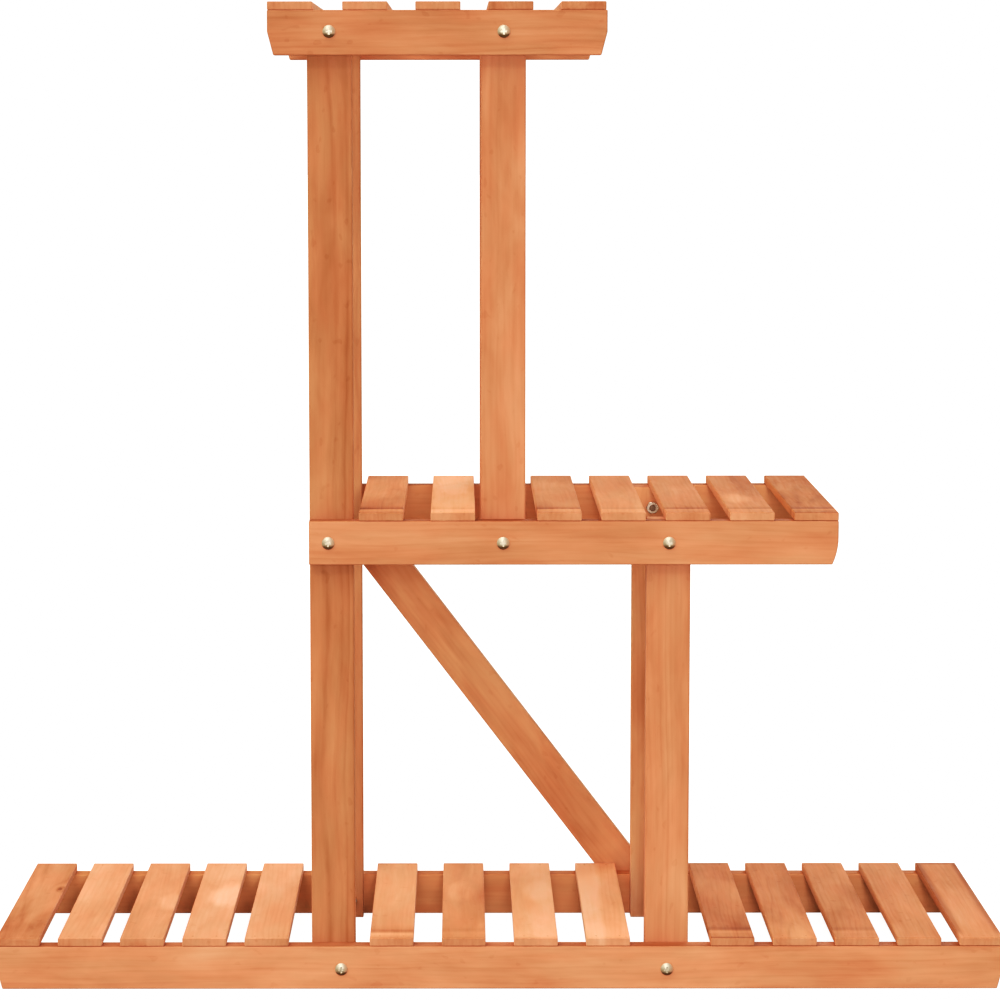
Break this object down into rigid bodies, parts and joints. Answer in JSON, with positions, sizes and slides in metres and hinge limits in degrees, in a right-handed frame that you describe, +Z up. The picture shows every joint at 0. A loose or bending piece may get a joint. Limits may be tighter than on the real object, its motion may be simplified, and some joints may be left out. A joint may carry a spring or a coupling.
{
  "type": "tiered plant stand",
  "caption": "Free-standing stepped wooden plant stand with slatted shelves on bolted front and rear frames and a diagonal back brace.",
  "frame": {"origin": "on the floor, under the centre of the overall box", "axes": "+Z up; +X to the right seen from the front, along the shelves; -Y towards the front, +Y towards the braced back"},
  "size_m": [0.8532, 0.2704, 0.83],
  "materials": {
    "rail_fir": "orange-brown stain, satin",
    "post_fir": "orange-brown stain, satin",
    "brace_fir": "orange-brown stain, satin",
    "slat_fir": "orange-brown stain, satin",
    "bolt_steel": "zinc plated, slightly yellow",
    "nut_steel": "zinc plated",
    "pin_steel": "stained over"
  },
  "bodies": {
    "root": {"front_bottom_rail": "rail_fir", "rear_bottom_rail": "rail_fir", "front_middle_rail": "rail_fir", "rear_middle_rail": "rail_fir", "front_top_rail": "rail_fir", "rear_top_rail": "rail_fir", "front_left_post": "post_fir", "rear_left_post": "post_fir", "front_upper_post": "post_fir", "rear_upper_post": "post_fir", "front_lower_post": "post_fir", "rear_lower_post": "post_fir", "rear_diagonal_brace": "brace_fir", "bottom_slat_01": "slat_fir", "bottom_slat_02": "slat_fir", "bottom_slat_03": "slat_fir", "bottom_slat_04": "slat_fir", "bottom_slat_05": "slat_fir", "bottom_slat_06": "slat_fir", "bottom_slat_07": "slat_fir", "bottom_slat_08": "slat_fir", "bottom_slat_09": "slat_fir", "bottom_slat_10": "slat_fir", "bottom_slat_11": "slat_fir", "bottom_slat_12": "slat_fir", "bottom_slat_13": "slat_fir", "bottom_slat_14": "slat_fir", "middle_slat_1": "slat_fir", "middle_slat_2": "slat_fir", "middle_slat_3": "slat_fir", "middle_slat_4": "slat_fir", "middle_slat_5": "slat_fir", "middle_slat_6": "slat_fir", "middle_slat_7": "slat_fir", "top_slat_1": "slat_fir", "top_slat_2": "slat_fir", "top_slat_3": "slat_fir", "top_slat_4": "slat_fir", "top_slat_5": "slat_fir", "front_bottom_bolts": "bolt_steel", "rear_bottom_bolts": "bolt_steel", "front_middle_bolts": "bolt_steel", "rear_middle_bolts": "bolt_steel", "front_top_bolts": "bolt_steel", "rear_top_bolts": "bolt_steel", "brace_bolts": "bolt_steel", "front_bottom_nuts": "nut_steel", "rear_bottom_nuts": "nut_steel", "front_middle_nuts": "nut_steel", "rear_middle_nuts": "nut_steel", "front_top_nuts": "nut_steel", "rear_top_nuts": "nut_steel", "bottom_slat_pins": "pin_steel", "middle_slat_pins": "pin_steel", "top_slat_pins": "pin_steel"}
  },
  "joints": []
}
